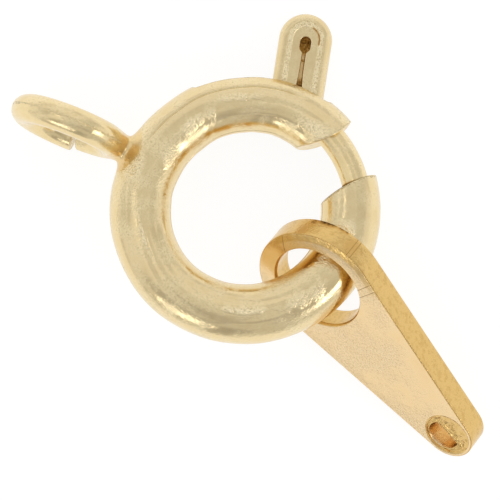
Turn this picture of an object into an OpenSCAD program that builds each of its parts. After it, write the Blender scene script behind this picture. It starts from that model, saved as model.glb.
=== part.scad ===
// Spring ring clasp with an end loop and a chain tab, as it lies on a table.
// All sizes are in millimetres and all directions in degrees. Directions are counted
// counter-clockwise from +X in the plane of the ring. The ring's centre is the origin,
// and +Z points up from the table.

/* [Ring] */
// Outside diameter of the ring
ring_od = 6; // [5.6:0.1:8]
// Outside diameter of the hollow tube that the ring is bent from
tube_d = 1.33; // [1.25:0.01:1.45]
// Thickness of the tube's wall
tube_wall = 0.16; // [0.12:0.01:0.2]
// Direction of the middle of the gap
gap_dir = 27; // [20:1:32]
// Width of the gap between its two parallel cuts
gap_w = 1.2; // [0.9:0.05:1.4]

/* [Bolt] */
// Diameter of the wire that slides in the tube and closes the gap
wire_d = 0.61; // [0.5:0.01:0.65]
// Play between the bolt and whatever it slides in or stops against
bolt_play = 0.03; // [0.02:0.01:0.05]
// How far the closed bolt reaches into the far end of the tube
bolt_lap = 0.3; // [0.2:0.05:0.5]
// Length of the bolt's tail behind the knob, which the spring pushes on
tail_l = 0.3; // [0.2:0.05:0.5]
// Direction of the place where the knob's middle line leaves the wire
knob_dir = 64; // [60:1:68]
// Lean of the knob backwards from straight out
knob_lean = 17; // [5:1:22]
// Reach of the knob from the wire's middle line to its top
knob_reach = 2.15; // [1.8:0.05:2.6]
// Width of the knob over both of its legs
knob_w = 1.19; // [1.1:0.01:1.3]
// Thickness of the wire where it is bent into the knob
knob_t = 0.55; // [0.45:0.01:0.6]
// Depth of the pressed panel on each face of the knob
panel_sink = 0.03; // [0.02:0.01:0.05]
// Width of the slit between the knob's legs
slit_w = 0.14; // [0.1:0.01:0.2]
// Thickness of the metal in the slit, where the legs are pressed together
slit_web = 0.12; // [0.08:0.01:0.2]
// Diameter of the eye at the top of the slit
eye_d = 0.26; // [0.2:0.01:0.3]
// Distance from the knob's top down to the middle of the eye
eye_down = 0.72; // [0.65:0.01:0.9]

/* [Spring] */
// Diameter of the spring's wire
spring_wire = 0.12; // [0.1:0.01:0.14]
// Play between the coil and the tube around it
spring_play = 0.06; // [0.05:0.01:0.08]
// Number of turns of the coil
spring_turns = 16; // [12:1:20]
// Direction of the middle of the web that stops the spring
stop_dir = 192; // [180:1:220]
// Thickness of that web
stop_t = 0.3; // [0.2:0.05:0.5]

/* [End loop] */
// Direction of the end loop
loop_dir = 155; // [145:1:165]
// Turn of the loop away from straight out, about its own middle
loop_turn = 3; // [0:1:6]
// Outside diameter of the end loop
loop_od = 2.72; // [2.5:0.01:3]
// Diameter of the loop's wire
loop_wire = 0.66; // [0.5:0.01:0.7]
// How far the loop's wire is let into the ring
loop_let_in = 0.03; // [0.02:0.01:0.05]
// Width of the cut where the loop's wire ends meet
loop_cut = 0.15; // [0.08:0.01:0.25]
// Place of that cut around the loop, where -90 faces the table and -180 the ring
loop_cut_at = -103; // [-115:1:-100]
// Diameter of the solder that joins the loop to the ring
solder_d = 0.78; // [0.7:0.01:0.9]
// Reach of the solder from the ring's outside
solder_l = 0.3; // [0.2:0.05:0.4]

/* [Chain tab] */
// Distance from the middle of the large hole to the middle of the small eye
tab_pitch = 4.46; // [3.5:0.01:6]
// Width of the tab's rim around the large hole
tab_rim = 0.43; // [0.35:0.01:0.6]
// Width of the tab at its tip
tab_tip_w = 1.24; // [1.2:0.01:1.5]
// Thickness of the tab
tab_t = 0.6; // [0.45:0.01:0.65]
// Play between the ring and the large hole as the tab leans on it
tab_play = 0.1; // [0.08:0.01:0.2]
// Bevel on the edges of both holes
hole_bevel = 0.05; // [0.03:0.01:0.08]
// Diameter of the small eye at the tip
tab_eye_d = 0.72; // [0.6:0.01:0.74]
// Distance of the eye from the tab's middle line, towards its lower edge
eye_aside = 0.12; // [0:0.01:0.13]
// Diameter of the shallow seat that the eye is punched through
seat_d = 1.1; // [1.06:0.01:1.14]
// Depth of that seat
seat_sink = 0.07; // [0.04:0.01:0.1]
// Direction of the place on the ring where the tab hangs
tab_dir = -42.5; // [-60:0.5:-35]
// Lean of the tab about its length, away from square across the tube
tab_lean = 33; // [20:1:38]
// Turn of the tab's length away from straight out, along the ring
tab_turn = 4; // [0:1:8]
// Droop of the tab's tip towards the table
tab_droop = 15.5; // [8:0.5:18]

/* [Hidden] */
$fn = 96;

// Metal colours
pale_gold = [0.84, 0.77, 0.59];
rich_gold = [0.89, 0.74, 0.47];
spring_grey = [0.62, 0.61, 0.58];

// A cut runs this far past what it cuts
past = 0.2;
// A bevel runs this far past the face that it is cut in
past_bevel = 0.01;
axis = [0, 0, 1];

// Ring and gap
ring_r = (ring_od - tube_d) / 2;
tube_r = tube_d / 2;
bore_r = tube_r - tube_wall;

// Bolt: its wire rides along the outer wall of the bore
wire_r = wire_d / 2;
bolt_r = ring_r + bore_r - wire_r - bolt_play;
half_gap = asin(gap_w / 2 / bolt_r);
tip_dir = gap_dir - half_gap - arc_deg(bolt_lap, bolt_r);
bolt_travel = 2 * half_gap + arc_deg(bolt_lap, bolt_r);

// Knob: x runs across it and y along its middle line, both from the ring's centre
knob_turn = knob_dir + knob_lean - 90;
knob_x = bolt_r * sin(knob_lean);
knob_y = bolt_r * cos(knob_lean);
leg_x = (knob_w - knob_t) / 2;
arch_y = knob_y + knob_reach - knob_w / 2;
panel_t = knob_t - 2 * panel_sink;
eye_y = knob_y + knob_reach - eye_down;

// Slot: the knob's travel, and play at both ends and both sides
slot_w = knob_t + 2 * bolt_play;
slot_from = knob_turn + acos((knob_x + knob_w / 2 + bolt_play) / (ring_r + bore_r));
slot_to = knob_turn + acos((knob_x - knob_w / 2 - bolt_play) / (ring_od / 2)) + bolt_travel;

// Bolt's tail and the coil between it and the web in the bore
tail_dir = knob_turn + acos((knob_x - knob_w / 2) / bolt_r) + arc_deg(tail_l, bolt_r);
stop_deg = arc_deg(stop_t, ring_r);
coil_r = bore_r - spring_play - spring_wire / 2;
coil_from = tail_dir + arc_deg(bolt_play + spring_wire / 2, ring_r);
coil_to = stop_dir - stop_deg / 2 - arc_deg(bolt_play + spring_wire / 2, ring_r);
coil_steps = 14;
coil_sides = 6;

// End loop
loop_r = (loop_od - loop_wire) / 2;
loop_x = ring_od / 2 + loop_od / 2 - loop_let_in;
loop_cut_deg = arc_deg(loop_cut, loop_r);

// Chain tab: its hole clears the tube at the tab's angle across it
tab_cross = acos(cos(tab_lean) * cos(tab_turn));
hole_d = tube_d / cos(tab_cross) + tab_t * tan(tab_cross) + tab_play;
tab_big_w = hole_d + 2 * tab_rim;
tangent = acos((tab_big_w - tab_tip_w) / 2 / tab_pitch);
// The tab's straight sides are let this far into its round ends, so that they cross them
side_sink = 0.002;
tab_centre = polar(ring_r, tab_dir);
tab_out = polar(1, tab_dir + tab_turn);
tab_along = polar(1, tab_dir + tab_turn + 90);
tab_normal = sin(tab_lean) * axis - cos(tab_lean) * tab_along;
tab_side = cos(tab_lean) * axis + sin(tab_lean) * tab_along;
tab_length = cos(tab_droop) * tab_out - sin(tab_droop) * tab_side;

// The table's direction up, seen from a ring that lies flat, and how it is found
first_up = [-0.1, -0.1, 1];
rest_steps = 30;
up = rest_up(unit(first_up), rest_steps);

// Angle in degrees of an arc of length l on radius r
function arc_deg(l, r) = l / r * 180 / PI;

// Point or direction in the plane of the ring
function polar(r, dir) = [r * cos(dir), r * sin(dir), 0];

function unit(v) = v / norm(v);

// Direction across axis a that points most nearly along v
function across(v, a) = unit(v - (v * a) * a);

function lower_of(p, q, v) = p * v < q * v ? p : q;

// Lowest point of a round wire ring with centre c, axis a and wire radius w
function ring_low(c, a, r, w, v) = c - r * across(v, a) - w * v;

// Lowest point of a round plate with centre c, axis a and thickness t
function plate_low(c, a, r, t, v) = c - r * across(v, a) - sign(v * a) * t / 2 * a;

// What touches the table: the end loop, the knob or the ring's far side, and the tab
function loop_low(v) =
    ring_low(polar(loop_x, loop_dir), polar(1, loop_dir + loop_turn + 90), loop_r, loop_wire / 2, v);
function arch_centre() = polar(knob_x, knob_turn) + polar(arch_y, knob_turn + 90);
function side_low(v) = lower_of(
    ring_low([0, 0, 0], axis, ring_r, tube_r, v),
    ring_low(arch_centre(), axis, leg_x, knob_t / 2, v), v);
function tab_low(v) = lower_of(
    plate_low(tab_centre, tab_normal, tab_big_w / 2, tab_t, v),
    plate_low(tab_centre + tab_pitch * tab_length, tab_normal, tab_tip_w / 2, tab_t, v), v);
function table_up(v) = unit(cross(tab_low(v) - loop_low(v), side_low(v) - loop_low(v)));

// Halfway steps from a first direction v to the plane that all three rest on
function rest_up(v, steps) = steps == 0 ? v : rest_up(unit(v + table_up(v)), steps - 1);

// Tips a piece from the plane of the ring to how it lies on the table
module lying() {
    rotate(a = acos(up.z), v = cross(up, axis)) children();
}

// Round bar bent along the ring, from one direction to another
module bent_bar(r, d, from, to) {
    rotate([0, 0, from])
        rotate_extrude(angle = to - from)
            translate([r, 0]) circle(d = d);
}

module ring_tube() {
    rotate_extrude() translate([ring_r, 0]) circle(r = tube_r);
}

// The hollow of the tube, all round but for the web that stops the spring
module tube_bore() {
    bent_bar(ring_r, 2 * bore_r, stop_dir + stop_deg / 2, stop_dir - stop_deg / 2 + 360);
}

module gap_cut() {
    rotate([0, 0, gap_dir])
        translate([ring_r - tube_d, -gap_w / 2, -tube_d])
            cube([2 * tube_d, gap_w, 2 * tube_d]);
}

// Slot in the outer wall, in which the knob slides
module slot_cut() {
    rotate([0, 0, slot_from])
        rotate_extrude(angle = slot_to - slot_from)
            translate([ring_r, -slot_w / 2]) square([tube_r + past, slot_w]);
}

module end_loop() {
    rotate([0, 0, loop_dir])
        translate([loop_x, 0, 0])
            rotate([90, 0, loop_turn])
                bent_bar(loop_r, loop_wire, loop_cut_at + loop_cut_deg / 2,
                    loop_cut_at - loop_cut_deg / 2 + 360);
}

module solder() {
    rotate([0, 0, loop_dir])
        translate([ring_r, 0, 0])
            rotate([0, 90, 0]) cylinder(d = solder_d, h = tube_r + solder_l);
}

module ring_body() {
    color(pale_gold)
        lying()
            difference() {
                union() {
                    ring_tube();
                    end_loop();
                    solder();
                }
                tube_bore();
                gap_cut();
                slot_cut();
            }
}

// Two round legs, the round arch over them and the flatter pressed panel between
module knob_blank() {
    leg_l = arch_y - knob_y;
    for (side = [-1, 1])
        translate([knob_x + side * leg_x, knob_y, 0])
            rotate([-90, 0, 0]) cylinder(d = knob_t, h = leg_l);
    translate([knob_x, arch_y, 0]) bent_bar(leg_x, knob_t, 0, 180);
    translate([knob_x, arch_y, 0]) cylinder(r = leg_x, h = panel_t, center = true);
    translate([knob_x - leg_x, knob_y, -panel_t / 2]) cube([2 * leg_x, leg_l, panel_t]);
}

// Slit between the legs and the eye above it, both sunk from each face down to the web
module knob_slit() {
    for (z = [slit_web / 2, -slit_web / 2 - knob_t])
        translate([knob_x, 0, z]) {
            translate([-slit_w / 2, knob_y - wire_d, 0])
                cube([slit_w, eye_y - knob_y + wire_d, knob_t]);
            translate([0, eye_y, 0]) cylinder(d = eye_d, h = knob_t);
        }
}

module bolt() {
    color(pale_gold)
        lying()
            difference() {
                union() {
                    bent_bar(bolt_r, wire_d, tip_dir, tail_dir);
                    rotate([0, 0, knob_turn]) knob_blank();
                }
                rotate([0, 0, knob_turn]) knob_slit();
            }
}

// Corner k of the wire's section at step i of the coil
function coil_point(i, k, steps) =
    let (
        dir = coil_from + (coil_to - coil_from) * i / steps,
        turn = 360 * i / coil_steps,
        corner = 360 * k / coil_sides,
        w = spring_wire / 2,
        out = coil_r + w * cos(corner)
    )
    polar(ring_r + out * cos(turn), dir) + out * sin(turn) * axis
        + w * sin(corner) * polar(1, dir + 90);

module spring() {
    steps = spring_turns * coil_steps;
    n = coil_sides;
    points = [for (i = [0:steps]) for (k = [0:n - 1]) coil_point(i, k, steps)];
    sides = [for (i = [0:steps - 1]) for (k = [0:n - 1])
        each [[i * n + k, (i + 1) * n + (k + 1) % n, i * n + (k + 1) % n],
            [i * n + k, (i + 1) * n + k, (i + 1) * n + (k + 1) % n]]];
    ends = [[for (k = [0:n - 1]) k], [for (k = [n - 1:-1:0]) steps * n + k]];
    color(spring_grey)
        lying()
            polyhedron(points = points, faces = concat(sides, ends), convexity = 10);
}

// Place where a straight side of the tab meets a round end of diameter d
function side_end(d, side) =
    (d / 2 - side_sink) * [cos(tangent), side * sin(tangent)];

// Teardrop outline: two round ends and the straight sides between them
module tab_outline() {
    tip = [tab_pitch, 0];
    circle(d = tab_big_w);
    translate(tip) circle(d = tab_tip_w);
    polygon([side_end(tab_big_w, -1), tip + side_end(tab_tip_w, -1),
        tip + side_end(tab_tip_w, 1), side_end(tab_big_w, 1)]);
}

// Hole through the tab with a bevel at both faces, of which the upper one is sunk
module bevelled_hole(d, bevel, sink) {
    cylinder(d = d, h = tab_t + 2 * past, center = true);
    for (face = [[0, sink], [180, 0]])
        rotate([face[0], 0, 0])
            translate([0, 0, tab_t / 2 - face[1] - bevel])
                cylinder(d1 = d, d2 = d + 2 * (bevel + past_bevel), h = bevel + past_bevel);
}

// Eye for a jump ring, off the middle line of the seat around it
module tab_eye() {
    translate([0, 0, tab_t / 2 - seat_sink]) cylinder(d = seat_d, h = seat_sink + past);
    translate([0, -eye_aside, 0]) bevelled_hole(tab_eye_d, hole_bevel, seat_sink);
}

module chain_tab() {
    color(rich_gold)
        lying()
            rotate([0, 0, tab_dir])
                translate([ring_r, 0, 0])
                    rotate([90 - tab_lean, 0, tab_turn])
                        rotate([0, 0, -tab_droop])
                            difference() {
                                linear_extrude(tab_t, center = true) tab_outline();
                                bevelled_hole(hole_d, hole_bevel, 0);
                                translate([tab_pitch, 0, 0]) tab_eye();
                            }
}

ring_body();
bolt();
spring();
chain_tab();
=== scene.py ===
"""Looks of a gold spring ring clasp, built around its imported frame.

The clasp lies on a table. Every piece is drawn in millimetres in the plane of the ring,
where +Z is the ring's own axis, and is then tipped to the way that the clasp lies.
"""

from __future__ import annotations

import logging
import math
from dataclasses import dataclass
from enum import Enum
from typing import Any, Callable, Sequence

import bmesh
import bpy
import numpy as np
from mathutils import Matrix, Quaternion, Vector, geometry

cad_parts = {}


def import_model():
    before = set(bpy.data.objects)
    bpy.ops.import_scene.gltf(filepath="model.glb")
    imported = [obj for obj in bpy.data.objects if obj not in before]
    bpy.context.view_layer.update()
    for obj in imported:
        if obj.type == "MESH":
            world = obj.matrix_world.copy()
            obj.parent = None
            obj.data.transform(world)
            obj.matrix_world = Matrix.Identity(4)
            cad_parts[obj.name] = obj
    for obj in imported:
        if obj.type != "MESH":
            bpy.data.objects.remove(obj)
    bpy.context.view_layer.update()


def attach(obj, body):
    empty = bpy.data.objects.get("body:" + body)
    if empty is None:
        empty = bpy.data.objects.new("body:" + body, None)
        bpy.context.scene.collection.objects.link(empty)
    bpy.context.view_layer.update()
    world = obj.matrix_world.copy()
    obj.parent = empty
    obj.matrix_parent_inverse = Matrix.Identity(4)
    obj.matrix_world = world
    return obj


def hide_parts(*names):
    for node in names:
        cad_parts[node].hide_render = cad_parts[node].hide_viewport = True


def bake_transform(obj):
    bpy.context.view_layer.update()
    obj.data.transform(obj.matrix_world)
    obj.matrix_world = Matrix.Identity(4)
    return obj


LOG = logging.getLogger("clasp")

MM = 0.001
FULL_TURN = 2 * math.pi
UP = np.array([0.0, 0.0, 1.0])
# The mesh attribute that holds a point's place along, round and through its own metal, in mm
GRAIN = "grain"
# The mesh attribute with a point's share of worked patches, whose tone partly paints light, and of dark
# residue and painted shade
MARKS = "marks"


class Body(Enum):
    """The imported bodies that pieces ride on."""

    CLASP = "clasp"
    BOLT = "bolt"


class Slot(Enum):
    """The record's material slots."""

    RING = "ring_metal"
    BOLT = "bolt_metal"
    SPRING = "spring_metal"
    TAB = "tab_metal"


# Planes


@dataclass(frozen=True)
class RingPlane:
    """The plane of the ring, tipped as it lies on the table."""

    axis: tuple[float, float, float] = (0.115286, 0.194015, 0.974201)
    table_mm: float = -1.23666

    def turn(self) -> Quaternion:
        """Turn from the plane of the ring to the row frame."""
        return Vector(UP).rotation_difference(Vector(self.axis))

    def place(self, points: np.ndarray) -> np.ndarray:
        """Moves rows of points, in mm in the plane of the ring, to the row frame in metres."""
        return points @ np.array(self.turn().to_matrix()).T * MM


PLANE = RingPlane()


@dataclass(frozen=True)
class OwnPlane:
    """A piece's own plane: its middle in the plane of the ring, and its directions there as rows."""

    middle: np.ndarray
    axes: np.ndarray

    def to_ring(self, points: np.ndarray) -> np.ndarray:
        """Moves points from this plane to the plane of the ring."""
        return self.middle + points @ self.axes

    def from_ring(self, points: np.ndarray) -> np.ndarray:
        """Moves points from the plane of the ring to this plane."""
        return (points - self.middle) @ self.axes.T


# Shape helpers


def circle_dir(angle: np.ndarray | float) -> np.ndarray:
    """Unit vectors in the plane of the ring for directions in radians."""
    return np.stack([np.cos(angle), np.sin(angle), np.zeros_like(angle, float)], -1)


def ease(value: np.ndarray | float, low: float, high: float) -> np.ndarray:
    """Smooth step from 0 at low to 1 at high.

    Args:
        value: What is measured.
        low: Where the step starts.
        high: Where it ends.

    Returns:
        The step's height for each value.
    """
    share = np.clip((np.asarray(value, float) - low) / (high - low), 0, 1)
    return share * share * (3 - 2 * share)


def rounded(size: float, count: int) -> list[tuple[float, float]]:
    """Points of a rounded edge.

    Args:
        size: The edge's radius.
        count: Number of points.

    Returns:
        How far each point is behind the end that the edge turns to, and how far in.
    """
    turns = [math.pi / 2 * k / (count - 1) for k in range(count)]
    return [(size * (1 - math.sin(t)), size * (1 - math.cos(t))) for t in turns]


def soft_union(a: np.ndarray, b: np.ndarray, fillet: float) -> np.ndarray:
    """Distance to two solids that are joined with a fillet.

    Args:
        a: Distance to one solid.
        b: Distance to the other.
        fillet: How near to each other the two are where the fillet starts.

    Returns:
        The distances.
    """
    near = np.clip(fillet - np.abs(a - b), 0, None) / fillet
    return np.minimum(a, b) - near**3 * fillet / 6


def soft_cut(a: np.ndarray, b: np.ndarray, edge: float) -> np.ndarray:
    """Distance to solid a after solid b is cut from it, with a rounded edge."""
    return -soft_union(-a, b, edge)


def torus(points: np.ndarray, bend_r: float, rod_r: float) -> np.ndarray:
    """Distance to a round rod that is bent to a ring about +Z."""
    return np.hypot(np.hypot(points[:, 0], points[:, 1]) - bend_r, points[:, 2]) - rod_r


def bent_rod(bend_r: float, angles: np.ndarray, radii: np.ndarray, sides: int,
             aside: np.ndarray | float = 0.0) -> tuple[np.ndarray, np.ndarray]:
    """A round rod that is bent to a ring about +Z.

    Args:
        bend_r: Radius of its middle line.
        angles: Directions of its cross sections, in radians.
        radii: Their radii.
        sides: Points round each.
        aside: How far each stands above the plane.

    Returns:
        Points and their places in the metal, sections by sides, with the first side repeated.
    """
    turn = np.linspace(0, FULL_TURN, sides + 1)
    out = bend_r + radii[:, None] * np.cos(turn)
    height = radii[:, None] * np.sin(turn) + aside
    points = circle_dir(angles)[:, None] * out[..., None] + height[..., None] * UP
    grain = np.broadcast_arrays(angles[:, None] * bend_r, turn * radii.max(), radii[:, None])
    return points, np.stack(grain, -1)


class MeshDraft:
    """Points and faces of one piece, drawn in the plane of the ring."""

    def __init__(self) -> None:
        """Starts with no points."""
        self.points: list[np.ndarray] = []
        self.grain: list[np.ndarray] = []
        self.marks: list[np.ndarray] = []
        self.faces: list[list[int]] = []
        self.count = 0

    def add(self, points: np.ndarray, faces: np.ndarray, grain: np.ndarray,
            patch: np.ndarray | float = 0.0, soil_and_shade: np.ndarray | float = 0.0) -> None:
        """Adds points and the faces between them.

        Args:
            points: Points in mm, one a row.
            faces: Three or four indices into the points a row.
            grain: Each point's place in its metal, in mm.
            patch: Each point's share of a pitted or cut patch, whose tone partly paints light.
            soil_and_shade: Each point's share of dark polish residue and of painted shade.
        """
        marks = np.zeros((len(points), 3))
        marks[:, 0] = patch
        marks[:, 1] = soil_and_shade
        self.points.append(points)
        self.grain.append(grain)
        self.marks.append(marks)
        self.faces += (faces + self.count).tolist()
        self.count += len(points)

    def sheet(self, points: np.ndarray, grain: np.ndarray | None = None, patch: np.ndarray | float = 0.0,
              soil_and_shade: np.ndarray | float = 0.0, closed: bool = False) -> None:
        """Adds a grid of points with four-sided faces between them.

        Args:
            points: Grid of points, rows by columns by 3.
            grain: Grid of places in the metal, which are the points themselves by default.
            patch: Grid of patch shares, whose tone partly paints light.
            soil_and_shade: Grid of shares of residue and painted shade.
            closed: Whether each row is a loop.
        """
        rows, cols = points.shape[:2]
        parts = [points, points if grain is None else grain]
        parts += [np.broadcast_to(share, (rows, cols))[..., None] for share in (patch, soil_and_shade)]
        if closed:
            parts = [np.concatenate([part, part[:, :1]], 1) for part in parts]
            cols += 1
        index = np.arange(rows * cols).reshape(rows, cols)
        quads = np.stack([index[:-1, :-1], index[1:, :-1], index[1:, 1:], index[:-1, 1:]], -1)
        points, grain, patch, soil_and_shade = (part.reshape(rows * cols, -1) for part in parts)
        self.add(points, quads.reshape(-1, 4), grain, patch[:, 0], soil_and_shade[:, 0])

    def rod(self, points: np.ndarray, grain: np.ndarray, soil_and_shade: np.ndarray | float = 0.0) -> None:
        """Adds a rod and closes both of its ends with fans of triangles.

        Args:
            points: Grid of points, cross sections by sides, with the first side repeated.
            grain: Grid of places in the metal.
            soil_and_shade: Grid of shares of residue and painted shade.
        """
        self.sheet(points, grain, soil_and_shade=soil_and_shade)
        for end in (points[0, :-1], points[-1, :-1]):
            count = len(end)
            near = np.arange(count)
            fan = np.vstack([end, end.mean(0)])
            self.add(fan, np.stack([near, (near + 1) % count, np.full(count, count)], -1), fan)

    def build(self, name: str) -> bpy.types.Object:
        """Makes the piece's object, tipped to the row frame.

        Args:
            name: The piece's name.

        Returns:
            The new object, linked to the scene.
        """
        mesh = bpy.data.meshes.new(name)
        mesh.from_pydata(PLANE.place(np.vstack(self.points)).tolist(), [], self.faces)
        for key, data in ((GRAIN, self.grain), (MARKS, self.marks)):
            layer = mesh.attributes.new(key, "FLOAT_VECTOR", "POINT")
            layer.data.foreach_set("vector", np.vstack(data).astype(np.float32).ravel())
        edit = bmesh.new()
        edit.from_mesh(mesh)
        weld_mm = 0.0004
        bmesh.ops.remove_doubles(edit, verts=edit.verts, dist=weld_mm * MM)
        bmesh.ops.dissolve_degenerate(edit, edges=edit.edges, dist=weld_mm * MM / 4)
        bmesh.ops.recalc_face_normals(edit, faces=edit.faces)
        edit.to_mesh(mesh)
        edit.free()
        mesh.shade_smooth()
        piece = bpy.data.objects.new(name, mesh)
        bpy.context.scene.collection.objects.link(piece)
        return piece


def surface_net(solid: Callable[[np.ndarray], np.ndarray], low: Sequence[float],
                high: Sequence[float], step: float) -> tuple[np.ndarray, np.ndarray]:
    """Meshes a solid that is given by its distance, and pulls the points onto it.

    Args:
        solid: Gives the distance to the solid for rows of points.
        low: Lowest corner of the space that holds it, in mm.
        high: Highest corner.
        step: Size of a cell.

    Returns:
        The points and the four-sided faces.
    """
    axes = [np.arange(a, b + step, step) for a, b in zip(low, high)]
    grid = np.stack(np.meshgrid(*axes, indexing="ij"), -1)
    value = solid(grid.reshape(-1, 3)).reshape(grid.shape[:3])
    inside = value < 0
    cells = tuple(n - 1 for n in value.shape)
    total = np.zeros(cells + (3,))
    hits = np.zeros(cells)
    edges = []
    for axis in range(3):
        near, far = [slice(None)] * 3, [slice(None)] * 3
        near[axis], far[axis] = slice(0, -1), slice(1, None)
        near, far = tuple(near), tuple(far)
        crossing = inside[near] != inside[far]
        fall = value[near] - value[far]
        place = grid[near].copy()
        place[..., axis] += np.where(crossing, value[near] / np.where(fall == 0, 1, fall), 0) * step
        u, v = [k for k in range(3) if k != axis]
        for du, dv in ((0, 0), (0, 1), (1, 0), (1, 1)):
            part = [slice(None)] * 3
            part[u] = slice(du, du + cells[u])
            part[v] = slice(dv, dv + cells[v])
            part = tuple(part)
            total += place[part] * crossing[part][..., None]
            hits += crossing[part]
        edges.append((crossing, u, v))
    used = hits > 0
    number = np.full(cells, -1)
    number[used] = np.arange(used.sum())
    points = total[used] / hits[used][:, None]
    faces = []
    for crossing, u, v in edges:
        at = np.argwhere(crossing)
        at = at[(at[:, u] > 0) & (at[:, v] > 0) & (at[:, u] < cells[u]) & (at[:, v] < cells[v])]
        corner = []
        for du, dv in ((1, 1), (0, 1), (0, 0), (1, 0)):
            cell = at.copy()
            cell[:, u] -= du
            cell[:, v] -= dv
            corner.append(number[tuple(cell.T)])
        faces.append(np.stack(corner, -1))
    # Each round moves the points along the slope by their distance, by half a cell at most
    small = step * 0.05
    for _ in range(4):
        slope = np.stack([(solid(points + small * d) - solid(points - small * d)) / (2 * small)
                          for d in np.eye(3)], -1)
        steep = np.clip((slope**2).sum(1), 0.2, None)
        points = points - np.clip(solid(points) / steep, -step / 2, step / 2)[:, None] * slope
    return points, np.vstack(faces)


# Materials


def linear(colour: str) -> tuple[float, float, float, float]:
    """Turns an sRGB hex value to linear light.

    Args:
        colour: Six hex digits after a #.

    Returns:
        Red, green, blue and alpha.
    """
    parts = [int(colour[k:k + 2], 16) / 255 for k in (1, 3, 5)]
    light = [c / 12.92 if c <= 0.04045 else ((c + 0.055) / 1.055) ** 2.4 for c in parts]
    return (light[0], light[1], light[2], 1.0)


Socket = bpy.types.NodeSocket
# What a node's inputs are filled with, in their order or by name or number
Inputs = Sequence[Any] | dict[str | int, Any]


class Nodes:
    """The node tree of a material or a world while it is being made."""

    def __init__(self, owner: bpy.types.Material | bpy.types.World, root: str) -> None:
        """Opens the node tree of its owner.

        Args:
            owner: The material or the world.
            root: Name of its shader node.
        """
        owner.use_nodes = True
        self.tree = owner.node_tree
        self.root = self.tree.nodes[root]

    def fill(self, node: bpy.types.Node, inputs: Inputs) -> None:
        """Links a node's inputs to sockets or sets them to values.

        Args:
            node: The node.
            inputs: Sockets and values in the order of its inputs, or by name or number. None is
                left as it is.
        """
        for key, source in inputs.items() if isinstance(inputs, dict) else enumerate(inputs):
            if isinstance(source, Socket):
                self.tree.links.new(source, node.inputs[key])
            elif source is not None:
                node.inputs[key].default_value = source

    def add(self, kind: str, inputs: Inputs, output: int = 0, **settings: Any) -> Socket:
        """Adds a node with its settings and links.

        Args:
            kind: The node's type, after ShaderNode.
            inputs: Sockets and values for its inputs.
            output: The number of the output that is wanted.
            **settings: Values of the node's own properties.

        Returns:
            The output.
        """
        made = self.tree.nodes.new("ShaderNode" + kind)
        for key, value in settings.items():
            setattr(made, key, value)
        self.fill(made, inputs)
        return made.outputs[output]


def layered(nodes: Nodes, base: str, layers: Sequence[tuple[Socket, str | Socket]]) -> Socket:
    """Lays tones over a base tone, each by its own share.

    Args:
        nodes: The material's tree.
        base: The base, as sRGB hex.
        layers: Each layer's share, and its tone as sRGB hex or as a socket.

    Returns:
        The colour.
    """
    colour = linear(base)
    for share, tone in layers:
        tone = linear(tone) if isinstance(tone, str) else tone
        # For colours the node has its inputs 6 and 7 and its output 2
        colour = nodes.add("Mix", {0: share, 6: colour, 7: tone}, 2, data_type="RGBA")
    return colour


@dataclass(frozen=True)
class Relief:
    """Fine unevenness of a surface: about how wide its features are and how high, in mm."""

    size_mm: float
    height_mm: float


@dataclass(frozen=True)
class Score:
    """A scored line in sheet metal, in mm, with painted shade in it.

    It runs where along x + across y = total, for the places x and y of the metal, between two
    values of y.
    """

    along: float
    across: float
    total: float
    low: float
    high: float
    half_mm: float = 0.016
    fade_mm: float = 0.02

    def height(self, nodes: Nodes, grain: Socket) -> Socket:
        """Height of the surface at the line.

        Args:
            nodes: The material's tree.
            grain: The places in the metal.

        Returns:
            1 on the surface and 0 in the line.
        """
        total = nodes.add("VectorMath", (grain, (self.along, self.across, 0.0)), 1, operation="DOT_PRODUCT")
        off = nodes.add("Math", (total, self.total), operation="SUBTRACT")
        off = nodes.add("Math", (off,), operation="ABSOLUTE")
        height = nodes.add("MapRange", (off, 0.0, self.half_mm, 0.0, 1.0))
        y = nodes.add("SeparateXYZ", (grain,), 1)
        for past in ((y, self.low - self.fade_mm, self.low, 1.0, 0.0),
                     (y, self.high, self.high + self.fade_mm, 0.0, 1.0)):
            height = nodes.add("Math", (height, nodes.add("MapRange", past)), operation="MAXIMUM")
        return height


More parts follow.
